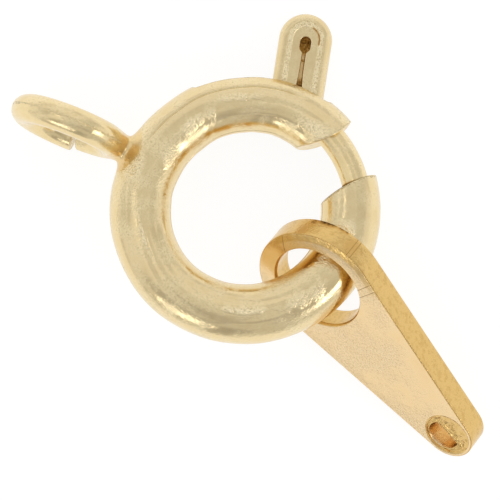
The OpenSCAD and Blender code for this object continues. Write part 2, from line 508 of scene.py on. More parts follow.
@dataclass(frozen=True)
class GoldFinish:
    """Solid gold alloy, and how its surface was worked.

    The fields are colours as sRGB hex, roughness from 0 to 1 and relief.
    """

    name: str
    light: str
    deep: str
    # Tone of metal that was cut or pressed and not polished after, which also paints light: paler for
    # painted glints in the scuffed and pitted patches, deeper yellow for painted shade and reflection on the
    # sheet's walls, bevels and rolled rim
    worked_and_painted_light: str
    rough_low: float
    rough_high: float
    rough_worked: float
    # Long soft waves that bending and tumbling leave along the metal, which bend the reflections
    wave: Relief
    # Pits and scuffs
    pits: Relief
    # Marks along the wire or tube from the drawplate
    draw: Relief
    # Pits of the worked patches
    press: Relief
    scores: tuple[Score, ...] = ()
    # The scored lines' dark tone is painted shade in them
    score_height_mm: float = 0.0006
    score_shade_tone: str = "#7E5A24"
    # Tone of painted shade at the bottom of a pit, and how much of it the scuffed clouds and, as dark
    # specks, the worked patches show
    pit_shade_tone: str = "#B08F52"
    pit_shade_share: float = 0.35
    speck_shade_share: float = 0.3
    # Residue of polish in crevices, which also paints shade in recesses and gaps: its tone as a thin film
    # and where it is thick
    film_and_shade: str = "#BE8A3A"
    residue_and_shade: str = "#3E2410"
    rough_residue: float = 0.8

    def make(self) -> bpy.types.Material:
        """Builds the material.

        Returns:
            The material, with its pattern sizes in real mm.
        """
        material = bpy.data.materials.new(self.name)
        f = Nodes(material, "Principled BSDF")
        grain, marks = (f.add("Attribute", (), 1, attribute_name=name) for name in (GRAIN, MARKS))
        # Each noise: its stretch along the metal, its size, its detail and its roughness
        noises = []
        for stretch, size_mm, detail, rough in (
                (0.22, self.wave.size_mm, 0.0, 0.4), (1.0, self.wave.size_mm * 1.2, 4.0, 0.62),
                (1.0, self.pits.size_mm, 3.0, 0.7), (0.04, self.draw.size_mm, 0.6, 0.4),
                (1.0, self.press.size_mm, 2.0, 0.75)):
            place = f.add("VectorMath", (grain, (stretch, 1.0, 1.0)), operation="MULTIPLY")
            noises.append(f.add("TexNoise", {"Vector": place, "Scale": 1 / size_mm, "Detail": detail,
                                             "Roughness": rough}))
        wave, cloud, pits, draw, press = noises
        thin = f.add("MapRange", (press, 0.35, 0.65, 0.6, 1.15))
        soil_and_shade = f.add("Math", (f.add("SeparateXYZ", (marks,), 1), thin), operation="MULTIPLY")
        # A worked patch has a ragged edge, which follows the clouds
        ragged = f.add("MapRange", (cloud, 0.3, 0.7, -0.3, 0.3))
        ragged = f.add("Math", (f.add("SeparateXYZ", (marks,), 0), ragged), operation="ADD")
        patch = f.add("MapRange", (ragged, 0.25, 0.85))
        # Pits, with the painted shade in their bottoms, show most in the scuffed clouds
        cover = f.add("MapRange", (cloud, 0.44, 0.62, 0.15, 1.0))
        pit_shade = f.add("Math", (f.add("MapRange", (pits, 0.36, 0.48, self.pit_shade_share, 0.0)), cover),
                        operation="MULTIPLY")
        # Dark specks of painted shade in the worked patches
        speck_shade = f.add("MapRange", (press, 0.38, 0.5, self.speck_shade_share, 0.0))
        scores = [score.height(f, grain) for score in self.scores]
        # The alloy's two tones, then painted shade in pits, the worked patches' tone with its painted light,
        # painted shade in scores, and residue with painted shade
        worked_and_painted_light = layered(f, self.worked_and_painted_light, [(speck_shade, self.pit_shade_tone)])
        # Tone of residue, also used as painted shade in recesses and gaps
        dirt_and_shade = layered(f, self.film_and_shade, [(f.add("MapRange", (soil_and_shade, 0.35, 0.95)), self.residue_and_shade)])
        layers = [(f.add("MapRange", (cloud, 0.35, 0.65)), self.light), (pit_shade, self.pit_shade_tone),
                  (patch, worked_and_painted_light)]
        layers += [(f.add("MapRange", (score, 0.0, 0.8, 0.85, 0.0)), self.score_shade_tone) for score in scores]
        layers.append((f.add("MapRange", (soil_and_shade, 0.0, 0.5)), dirt_and_shade))
        # Scuffed places are duller, and they come in clouds
        rough = f.add("MapRange", (cloud, 0.38, 0.66, self.rough_low, self.rough_high))
        for share, value in ((patch, self.rough_worked), (soil_and_shade, self.rough_residue)):
            rough = f.add("Mix", {0: share, 2: rough, 3: value}, data_type="FLOAT")
        # Each relief: its pattern, where it shows, and its height
        normal = None
        heights = [(wave, 1.0, self.wave.height_mm), (draw, 1.0, self.draw.height_mm),
                   (pits, cover, self.pits.height_mm), (press, patch, self.press.height_mm)]
        for pattern, share, height in heights + [(score, 1.0, self.score_height_mm) for score in scores]:
            shown = f.add("Math", (pattern, share), operation="MULTIPLY")
            normal = f.add("Bump", {"Strength": 1.0, "Distance": height * MM, "Height": shown,
                                    "Normal": normal})
        f.fill(f.root, {"Base Color": layered(f, self.deep, layers), "Roughness": rough, "Normal": normal,
                        "Metallic": 1.0})
        return material


# Pale 14 carat gold tube, rolled from sheet, bent and tumble polished. The eye sees a soft
# mirror whose reflections run in long bands, with scuffed clouds where the burr was tumbled off.
TUMBLED_TUBE = GoldFinish(
    name="gold_rolled_tube_tumbled", light="#F1DEB1", deep="#E8D1A0", worked_and_painted_light="#FBEAC0",
    rough_low=0.13, rough_high=0.27, rough_worked=0.19, wave=Relief(0.42, 0.022),
    pits=Relief(0.045, 0.009), draw=Relief(0.3, 0.002), press=Relief(0.05, 0.036),
    speck_shade_share=0.35, film_and_shade="#B39A5A", residue_and_shade="#4A3518")
# The same gold as drawn wire. The eye sees a cleaner mirror with faint lines along the wire.
DRAWN_WIRE = GoldFinish(
    name="gold_drawn_wire_polished", light="#F3DFB0", deep="#E9D29F", worked_and_painted_light="#F9EBC6",
    rough_low=0.12, rough_high=0.26, rough_worked=0.3, wave=Relief(0.34, 0.016),
    pits=Relief(0.035, 0.006), draw=Relief(0.12, 0.003), press=Relief(0.03, 0.01))
# The wire pressed between dies for the thumb knob: soft flanks and a finely pitted rim to the panel, whose
# pale tone and dark specks are painted glints and painted shade.
PRESSED_WIRE = GoldFinish(
    name="gold_wire_pressed", light="#EDDAAD", deep="#E2CB9A", worked_and_painted_light="#F8E7BC",
    rough_low=0.16, rough_high=0.3, rough_worked=0.18, wave=Relief(0.4, 0.012),
    pits=Relief(0.04, 0.004), draw=Relief(0.08, 0.0006), press=Relief(0.036, 0.02), speck_shade_share=0.5)
# Hard solder that has flowed and been polished over: smooth, and a little yellower.
FLOWED_SOLDER = GoldFinish(
    name="gold_solder_flowed", light="#EFD59F", deep="#E3C38A", worked_and_painted_light="#F6E1B0",
    rough_low=0.14, rough_high=0.28, rough_worked=0.3, wave=Relief(0.4, 0.012),
    pits=Relief(0.045, 0.006), draw=Relief(0.2, 0.0004), press=Relief(0.03, 0.012))
# Rich yellow gold sheet, stamped and polished flat. The eye sees a near mirror with few pits
# and some scored lines darkened with painted shade, and edges of a deeper yellow that is painted shade and
# reflection.
STAMPED_SHEET = GoldFinish(
    name="gold_sheet_stamped_polished", light="#F4D9AC", deep="#ECCD9A", worked_and_painted_light="#E0BC78",
    rough_low=0.09, rough_high=0.2, rough_worked=0.2, wave=Relief(1.1, 0.008),
    pits=Relief(0.05, 0.006), draw=Relief(0.5, 0.0006), press=Relief(0.14, 0.007),
    scores=(Score(1.0, -0.08, 0.43, 0.4, 1.38), Score(1.0, -0.11, 0.58, 0.4, 1.32),
            Score(0.572, 0.82, -0.624, -0.02, 0.23),
            Score(1.0, 0.0, -0.33, 1.42, 3.0), Score(1.0, 0.0, -0.24, 1.42, 3.0)),
    pit_shade_tone="#B98F48", speck_shade_share=0.3, film_and_shade="#CD9C4E")


@dataclass(frozen=True)
class SpringSteelFinish:
    """Hard drawn spring steel wire, straw coloured from stress relief."""

    name: str = "spring_steel_drawn"
    light: str = "#C9C2B2"
    deep: str = "#A79C84"
    draw_mm: float = 0.03

    def make(self) -> bpy.types.Material:
        """Builds the material.

        Returns:
            The material.
        """
        material = bpy.data.materials.new(self.name)
        f = Nodes(material, "Principled BSDF")
        grain = f.add("Attribute", (), 1, attribute_name=GRAIN)
        lines = f.add("TexNoise", {"Vector": grain, "Scale": 1 / self.draw_mm, "Detail": 2.0,
                                   "Roughness": 0.5})
        tone = layered(f, self.deep, [(f.add("MapRange", (lines, 0.35, 0.65)), self.light)])
        rough = f.add("MapRange", (lines, 0.3, 0.7, 0.18, 0.34))
        f.fill(f.root, {"Base Color": tone, "Roughness": rough, "Metallic": 1.0})
        return material


# Sub-assemblies


@dataclass
class Piece:
    """One finished piece and what it stands for."""

    draft: MeshDraft
    name: str
    node: str
    slot: Slot
    finish: bpy.types.Material
    body: Body | None

    def dress(self) -> bpy.types.Object:
        """Builds the object, gives it its material and puts it on its body.

        Returns:
            The piece.
        """
        piece = self.draft.build(self.name)
        piece.data.materials.append(self.finish)
        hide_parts(self.node)
        if self.body is not None:
            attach(piece, self.body.value)
        LOG.info("%s: %d faces", self.name, len(piece.data.polygons))
        return piece


@dataclass(frozen=True)
class TubeLine:
    """A shallow line or band along the tube: where it runs round the ring and round the tube in
    degrees, its depth in mm, half its width in degrees and the share of residue in it."""

    first: float
    last: float
    turn_first: float
    turn_last: float
    depth: float
    half: float
    residue_and_shade: float = 0.0
    fade: float = 12.0

    def shape(self, azimuth: np.ndarray, turn: np.ndarray) -> np.ndarray:
        """How much of the line each point of the tube has.

        Args:
            azimuth: Direction round the ring, in radians.
            turn: Angle round the tube, in radians.

        Returns:
            The share, from 0 to 1.
        """
        at = np.degrees(azimuth)
        begun = ease(at, self.first, self.first + self.fade)
        ended = ease(at, self.last - self.fade, self.last)
        middle = self.turn_first + (self.turn_last - self.turn_first) * ease(at, self.first, self.last)
        off = (np.degrees(turn) - middle) / (self.half * 0.55)
        return begun * (1 - ended) * np.exp(-(off**2))


@dataclass(frozen=True)
class Scuff:
    """A place on the tube that was filed or scuffed: its direction round the ring, its angle round
    the tube and half of its size each way, all in degrees."""

    at: float
    turn: float
    half: float
    half_turn: float

    def share(self, azimuth: np.ndarray, turn: np.ndarray) -> np.ndarray:
        """How scuffed each point of the tube is.

        Args:
            azimuth: Direction round the ring, in radians.
            turn: Angle round the tube, in radians.

        Returns:
            The share, from 0 to 0.85.
        """
        off = (np.degrees(azimuth) - self.at + 180) % 360 - 180
        away = np.hypot(off / self.half, (np.degrees(turn) - self.turn) / self.half_turn)
        return 0.85 - 0.85 * ease(away, 0.1, 1.3)


@dataclass(frozen=True)
class Grid:
    """Part of a skin of the tube, in rows that run along the ring: its points, their places in the
    metal and their angles round the tube."""

    points: np.ndarray
    grain: np.ndarray
    turn: np.ndarray


@dataclass(frozen=True)
class Columns:
    """The tube's columns: their directions in radians, how far each has turned along a corner of
    the slot, the numbers of those in the slot, and the end of the slot that each is nearer to,
    as -1 or 1."""

    azimuth: np.ndarray
    corner: np.ndarray
    inside: np.ndarray
    side: np.ndarray


@dataclass
class HollowRing:
    """The hollow tube ring with its gap, its slot and its rolled seam. Sizes in mm, angles in degrees."""

    ring_r: float = 2.335
    tube_r: float = 0.665
    bore_r: float = 0.505
    # The mouth of the bore at the cuts, which is closed in a little over the bolt's wire
    mouth_mid: float = 2.505
    mouth_r: float = 0.335
    gap_dir: float = 27.0
    # Distance of each cut from the middle of the gap, at the tube's sides and at its top
    upper_side: float = 0.655
    upper_top: float = 0.52
    lower_side: float = 0.64
    lower_top: float = 0.56
    # Setback of the two skins from a cut, and how far round the ring the columns make way for it
    rim_edge: float = 0.03
    bore_edge: float = 0.012
    cut_reach: float = 14.0
    slot_from: float = 52.448
    slot_to: float = 113.527
    slot_half: float = 0.305
    slot_corner: float = 0.12
    slot_edge: float = 0.025
    # How far beside the slot the columns still follow its edge, and up to where round the tube
    # the rows do
    slot_reach: float = 3.0
    slot_rows: float = 52.0
    rows: int = 131
    cover_rows: int = 13
    edge_steps: int = 6
    # Rolled seam, a line from the drawplate and soft bands from bending
    lines: tuple[TubeLine, ...] = (
        TubeLine(0, 400, 166, 166, 0.018, 1.7, 0.3),
        TubeLine(58, 152, 60, 60, 0.022, 4.0, 0.14),
        TubeLine(168, 262, 96, 66, 0.02, 10.0),
        TubeLine(186, 250, 118, 100, 0.014, 9.0),
        TubeLine(158, 212, 56, 60, 0.012, 8.0),
        TubeLine(236, 306, 112, 104, 0.016, 9.0),
        TubeLine(258, 300, 66, 72, -0.012, 9.0),
        TubeLine(36, 92, 84, 92, 0.016, 8.0),
        TubeLine(40, 104, 112, 118, -0.012, 9.0),
        TubeLine(345, 376, 118, 112, 0.012, 8.0),
        TubeLine(345, 376, 84, 84, -0.01, 8.0))
    scuffs: tuple[Scuff, ...] = (
        Scuff(147, 116, 13, 22), Scuff(120, 100, 18, 16), Scuff(94, 82, 16, 13), Scuff(160, 62, 10, 26),
        Scuff(304, 82, 22, 20), Scuff(268, 90, 20, 9), Scuff(48, 100, 14, 26), Scuff(344, 100, 12, 30),
        Scuff(330, 120, 14, 20), Scuff(196, 86, 16, 7))
    web_dir: float = 192.0
    web_t: float = 0.3
    # How far hand bending has carried the tube's middle line outwards, by direction
    bent_out: tuple[tuple[float, float], ...] = (
        (12, 0.0), (30, 0.06), (46, 0.075), (70, 0.07), (82, 0.04), (95, 0.01), (110, 0.0),
        (128, -0.04), (150, -0.03), (175, 0.01), (195, 0.03), (225, 0.05), (250, 0.03),
        (270, 0.015), (290, 0.0), (372, 0.0))
    # How much the slot has drawn the tube in, by direction
    drawn_in: tuple[tuple[float, float], ...] = (
        (12, 0.0), (40, -0.01), (60, -0.022), (95, -0.026), (125, -0.01), (165, 0.01), (180, 0.022),
        (205, 0.006), (250, 0.0), (372, 0.0))

    def bend(self, azimuth: np.ndarray, table: Sequence[tuple[float, float]]) -> np.ndarray:
        """Smooth value of a table at directions.

        Args:
            azimuth: The directions, in radians.
            table: Directions in degrees and their values.

        Returns:
            The values.
        """
        at, value = np.array(table).T
        degrees = np.degrees(azimuth)
        k = np.clip(np.searchsorted(at, degrees) - 1, 0, len(at) - 2)
        return value[k] + (value[k + 1] - value[k]) * ease((degrees - at[k]) / (at[k + 1] - at[k]), 0, 1)

    def point(self, azimuth: np.ndarray, turn: np.ndarray, radius: np.ndarray | float,
              outer: bool) -> np.ndarray:
        """Points of the tube.

        Args:
            azimuth: Direction round the ring, in radians.
            turn: Angle round the tube from straight out, in radians.
            radius: Distance from the tube's middle line.
            outer: Whether they are on the outside, which follows all of the bending.

        Returns:
            The points.
        """
        shift = self.bend(azimuth, self.bent_out)
        rho = self.ring_r + (shift if outer else np.clip(shift, 0, None)) + radius * np.cos(turn)
        return circle_dir(azimuth) * rho[..., None] + (radius * np.sin(turn))[..., None] * UP

    def cut(self, side: int, rho: np.ndarray, height: np.ndarray, back: float) -> np.ndarray:
        """Directions of places behind a cut.

        Args:
            side: 1 for the upper cut and -1 for the lower one.
            rho: Distance from the ring's axis.
            height: Height over the plane of the ring.
            back: How far behind the cut.

        Returns:
            The directions in radians, a full turn on for the lower cut.
        """
        flat, crown = (self.upper_side, self.upper_top) if side > 0 else (self.lower_side, self.lower_top)
        reach = flat - (flat - crown) * (np.abs(height) / self.tube_r) ** 1.6
        cut = math.radians(self.gap_dir) + side * np.arcsin(reach / rho)
        return cut + (FULL_TURN if side < 0 else 0) + side * back / rho

    def columns(self) -> Columns:
        """Places the tube's columns, close together at the slot's corners and at the lower cut.

        Returns:
            The columns.
        """
        start = self.gap_dir + math.degrees(math.asin(self.upper_side / self.ring_r))
        end = 360 + self.gap_dir - math.degrees(math.asin(self.lower_side / self.ring_r))
        corner = np.linspace(0, math.pi / 2, 8)
        off = np.degrees(self.slot_corner * (1 - np.cos(corner)) / (self.ring_r + self.tube_r))
        # The bolt enters the tube in the last few degrees, which are seen from close by
        near = end - 6
        first = np.linspace(start, self.slot_from, 15)[:-1]
        middle = np.linspace(self.slot_from + off[-1], self.slot_to - off[-1], 44)[1:-1]
        last = np.concatenate([np.linspace(self.slot_to, near, 150)[1:], np.linspace(near, end, 9)[1:]])
        azimuth = [first, self.slot_from + off, middle, (self.slot_to - off)[::-1], last]
        turned = [0 * first, corner, np.full(len(middle), corner[-1]), corner[::-1], 0 * last]
        azimuth = np.radians(np.concatenate(azimuth))
        side = np.where(azimuth < math.radians((self.slot_from + self.slot_to) / 2), -1.0, 1.0)
        inside = np.arange(len(first), len(azimuth) - len(last))
        return Columns(azimuth, np.concatenate(turned), inside, side)

    def row_turns(self) -> np.ndarray:
        """Places the tube's rows, close together at its lines.

        Returns:
            Their angles round the tube, in radians.
        """
        edge = math.degrees(math.asin((self.slot_half + self.slot_edge) / self.tube_r))
        rows = np.linspace(edge, 360 - edge, self.rows)
        near = np.array([-2.2, -1.4, -0.9, -0.5, -0.2, 0, 0.2, 0.5, 0.9, 1.4, 2.2])
        for line in self.lines:
            if line.residue_and_shade:
                rows = rows[np.abs(rows - line.turn_first) > line.half * 2.8]
                rows = np.concatenate([rows, line.turn_first + line.half * near])
        return np.radians(np.sort(rows))

    def spread(self, base: np.ndarray, edge: np.ndarray) -> np.ndarray:
        """Turns of the rows in each column, drawn to the slot's edge there.

        Args:
            base: The rows' turns at the slot's full width.
            edge: The turn of the slot's edge in each column.

        Returns:
            The turns, rows by columns.
        """
        top = math.radians(self.slot_rows)
        base = base[:, None]
        share = (top - edge) / (top - base[0])
        low = edge + (base - base[0]) * share
        high = FULL_TURN - edge - (FULL_TURN - base - base[0]) * share
        return np.where(base < top, low, np.where(base > FULL_TURN - top, high, base))

    def grid(self, azimuth: np.ndarray, shift: np.ndarray, turn: np.ndarray, outer: bool) -> Grid:
        """Part of one skin of the tube.

        Args:
            azimuth: Direction of each column.
            shift: How far each column, or each row and column, is moved along the ring.
            turn: Angle round the tube, rows by columns.
            outer: Whether it is the outer skin.

        Returns:
            The grid.
        """
        radius, setback = (self.tube_r, self.rim_edge) if outer else (self.bore_r, self.bore_edge)
        where = azimuth + shift
        for side, column in ((1, 0), (-1, -1)):
            end = turn[:, column]
            goal = self.cut(side, self.ring_r + radius * np.cos(end), radius * np.sin(end), setback)
            share = 1 - ease(np.abs(azimuth - azimuth[column]), 0, math.radians(self.cut_reach))
            where = where + (goal - azimuth[column])[:, None] * share
        size = np.full(turn.shape, radius)
        if outer:
            size = size + self.bend(where, self.drawn_in)
            for line in self.lines:
                size = size - line.depth * line.shape(where, turn)
        grain = np.stack([where * self.ring_r, turn * radius, size], -1)
        return Grid(self.point(where, turn, size, outer), grain, turn)

    def draw(self) -> MeshDraft:
        """Draws the tube: outside, bore, the two rims, the slot's wall and the web.

        Returns:
            The draft.
        """
        draft = MeshDraft()
        columns = self.columns()
        base = self.row_turns()
        azimuth = columns.azimuth
        # Only the rows within this turn of the slot are shifted with its rounded edge
        beside = 0.35
        fall = 1 - ease(base, base[0], base[0] + beside) + ease(base, base[-1] - beside, base[-1])
        away = np.maximum(math.radians(self.slot_from) - azimuth, azimuth - math.radians(self.slot_to))
        near = 1 - ease(away, 0.0, math.radians(self.slot_reach))
        skins = []
        for outer in (True, False):
            offset, radius = (self.slot_edge, self.tube_r) if outer else (0.0, self.bore_r)
            height = self.slot_half - self.slot_corner + (self.slot_corner + offset) * np.sin(columns.corner)
            edge = np.arcsin(height / radius)
            shift = columns.side * offset * np.cos(columns.corner) / (self.ring_r + self.tube_r) * near
            cover = np.linspace(1, -1, self.cover_rows)[:, None] * edge
            main = self.grid(azimuth, shift * fall[:, None], self.spread(base, edge), outer)
            cover = self.grid(azimuth, shift, cover, outer)
            skins.append((main, cover))
            patch = soil_and_shade = 0.0
            if outer:
                where = main.grain[..., 0] / self.ring_r
                soil_and_shade = np.max([line.residue_and_shade * line.shape(where, main.turn) for line in self.lines], 0)
                # The scuffs' pale worked tone and dark specks are painted glints and painted shade
                patch = np.max([scuff.share(where, main.turn) for scuff in self.scuffs], 0)
            draft.sheet(main.points, main.grain, patch, soil_and_shade)
            for part in (slice(0, columns.inside[0] + 1), slice(columns.inside[-1], None)):
                draft.sheet(cover.points[:, part], cover.grain[:, part])
        self.slot_wall(draft, skins, columns)
        for column, side in ((0, 1), (-1, -1)):
            self.rim(draft, skins, column, side)
        self.web(draft)
        return draft

    def web(self, draft: MeshDraft) -> None:
        """Draws the web in the bore that the spring pushes on.

        Args:
            draft: The draft.
        """
        turn = np.linspace(0, FULL_TURN, 49)
        # It goes a little way into the wall
        wide = self.bore_r + 0.01
        rows = []
        for way, radius in ((-1, 0.0), (-1, wide), (1, wide), (1, 0.0)):
            where = math.radians(self.web_dir) + way * self.web_t / 2 / self.ring_r
            rows.append(self.point(np.full(len(turn), where), turn, radius, False))
        draft.sheet(np.stack(rows))

    def slot_wall(self, draft: MeshDraft, skins: list[tuple[Grid, Grid]], columns: Columns) -> None:
        """Draws the wall all round the slot, with its rounded outer edge.

        Args:
            draft: The draft.
            skins: Main part and cover of the outside and of the bore.
            columns: The tube's columns.
        """
        inside = columns.inside
        first, last = inside[0], inside[-1]
        outside, bore = (
            np.vstack([main.points[0, inside], cover.points[1:-1, last], main.points[-1, inside[::-1]],
                       cover.points[1:-1, first][::-1]]) for main, cover in skins)
        flat = self.slot_half - self.slot_corner
        end = flat * np.linspace(1, -1, self.cover_rows)[1:-1]
        side = flat + self.slot_corner * np.sin(columns.corner[inside])
        height = np.concatenate([side, end, -side[::-1], end[::-1]])
        at = columns.azimuth
        at = np.concatenate([at[inside], 0 * end + at[last], at[inside[::-1]], 0 * end + at[first]])
        turn = np.arcsin(height / self.tube_r)
        true = self.point(at, turn, self.tube_r + self.bend(at, self.drawn_in), True)
        edge = [true - circle_dir(at) * down + (outside - true) * along / self.slot_edge
                for along, down in rounded(self.slot_edge, self.edge_steps)[1:]]
        draft.sheet(np.stack([outside, *edge, bore]), closed=True)

    def rim(self, draft: MeshDraft, skins: list[tuple[Grid, Grid]], column: int, side: int) -> None:
        """Draws one cut end of the tube, with its edges rounded by tumbling.

        Args:
            draft: The draft.
            skins: Main part and cover of the outside and of the bore.
            column: The end column.
            side: 1 for the upper cut and -1 for the lower one.
        """
        turn, inner = (np.concatenate([main.turn[:, column], cover.turn[1:-1, column][::-1] + FULL_TURN])
                       for main, cover in skins)
        main, cover = skins[0]
        rows = [np.vstack([main.points[:, column], cover.points[1:-1, column][::-1]])]
        for back, down in rounded(self.rim_edge, self.edge_steps)[1:]:
            radius = self.tube_r - down
            where = self.cut(side, self.ring_r + radius * np.cos(turn), radius * np.sin(turn), back)
            rows.append(self.point(where, turn, radius + self.bend(where, self.drawn_in), True))
        # The mouth: how much wider each of its rows is, and how far behind the cut
        for wide, back in ((0.04, 0.0), (0.01, 0.0), (0.0, 0.012), (0.0, 0.07), (0.03, 0.09)):
            rho = self.mouth_mid + (self.mouth_r + wide) * np.cos(inner)
            height = (self.mouth_r + wide) * np.sin(inner)
            rows.append(circle_dir(self.cut(side, rho, height, back)) * rho[:, None] + height[:, None] * UP)
        # Darker round the bore's mouth as painted shade, and at the lower cut a dark line along the rim's
        # upper edge as painted shadow of the gap where the tongue enters
        soil_and_shade = np.zeros((len(rows), len(turn)))
        soil_and_shade[-4:] = 0.15 if side > 0 else 0.5
        if side < 0:
            upper = ease(turn, math.radians(28), math.radians(60))
            soil_and_shade[2:self.edge_steps] = 0.85 * upper * (turn < math.pi)
        draft.sheet(np.stack(rows), soil_and_shade=soil_and_shade, closed=True)

    def build(self) -> None:
        """Builds and dresses the tube."""
        Piece(self.draw(), "ring_tube", "ring_body", Slot.RING, TUMBLED_TUBE.make(), Body.CLASP).dress()


@dataclass
class EndLoop:
    """The loop of round wire soldered to the ring. Sizes in mm, angles in degrees."""

    ring: HollowRing
    direction: float = 155.0
    turn_out: float = 3.0
    loop_r: float = 1.03
    wire_r: float = 0.33
    middle: float = 4.33
    cut_at: float = -103.0
    cut_w: float = 0.13
    # How far the two ends stand out of line
    out_of_line: float = 0.07
    end_edge: float = 0.03
    fillet: float = 0.5
    # The solder is the part of the fillet in a ball, and goes this far into the tube's wall
    solder_r: float = 0.86
    solder_in: float = 0.1
    step: float = 0.026

    def plane(self) -> OwnPlane:
        """The loop's own plane.

        Returns:
            The plane, with the loop's axis along +Z.
        """
        way, turned = math.radians(self.direction), math.radians(self.direction + self.turn_out)
        return OwnPlane(circle_dir(way) * self.middle,
                        np.stack([circle_dir(turned), UP, circle_dir(turned - math.pi / 2)]))

    def aside(self, angle: np.ndarray) -> np.ndarray:
        """How far the wire stands to the side of the loop's plane, by angle in radians."""
        share = ((angle - math.radians(self.cut_at)) % FULL_TURN) / FULL_TURN
        return self.out_of_line * (share - 0.5)

    def draw(self) -> MeshDraft:
        """Draws the bent wire with its two butt ends.

        Returns:
            The draft.
        """
        half = self.cut_w / 2 / self.loop_r
        start = math.radians(self.cut_at) + half
        end = math.radians(self.cut_at) + FULL_TURN - half
        back, down = np.array(rounded(self.end_edge, 6)).T
        back = back / self.loop_r
        middle = np.linspace(start, end, 190)[3:-3]
        angles = np.concatenate([start + back[::-1], middle, end - back])
        radii = self.wire_r - np.concatenate([down[::-1], 0 * middle, down])
        points, grain = bent_rod(self.loop_r, angles, radii, 60, self.aside(angles)[:, None])
        draft = MeshDraft()
        draft.rod(self.plane().to_ring(points), grain)
        return draft

    def solder_solid(self, points: np.ndarray) -> np.ndarray:
        """Distance to the solder: ring and loop joined by a fillet, inside the tube's wall.

        Args:
            points: Points in the plane of the ring.

        Returns:
            The distances.
        """
        plane = self.plane()
        local = plane.from_ring(points)
        local[:, 2] -= self.aside(np.arctan2(local[:, 1], local[:, 0]))
        azimuth = np.arctan2(points[:, 1], points[:, 0]) % FULL_TURN
        middle = self.ring.ring_r + self.ring.bend(azimuth, self.ring.bent_out)
        tube = torus(points, middle, self.ring.tube_r + self.ring.bend(azimuth, self.ring.drawn_in))
        joined = soft_union(tube, torus(local, self.loop_r, self.wire_r), self.fillet) + 0.002
        ball = np.linalg.norm(points - plane.to_ring(np.array([-self.loop_r, 0, 0])), axis=1) - self.solder_r
        return np.maximum(np.maximum(joined, ball), -(tube + self.solder_in))

    def draw_solder(self) -> MeshDraft:
        """Draws the fillet of solder between loop and ring.

        Returns:
            The draft.
        """
        middle = self.plane().to_ring(np.array([-self.loop_r, 0, 0]))
        reach = self.solder_r + 0.04
        points, faces = surface_net(self.solder_solid, middle - reach, middle + reach, self.step)
        draft = MeshDraft()
        draft.add(points, faces, points)
        return draft

    def build(self) -> None:
        """Builds and dresses the loop and its solder."""
        Piece(self.draw(), "end_loop", "ring_body", Slot.RING, DRAWN_WIRE.make(), Body.CLASP).dress()
        Piece(self.draw_solder(), "loop_solder", "ring_body", Slot.RING, FLOWED_SOLDER.make(),
              Body.CLASP).dress()


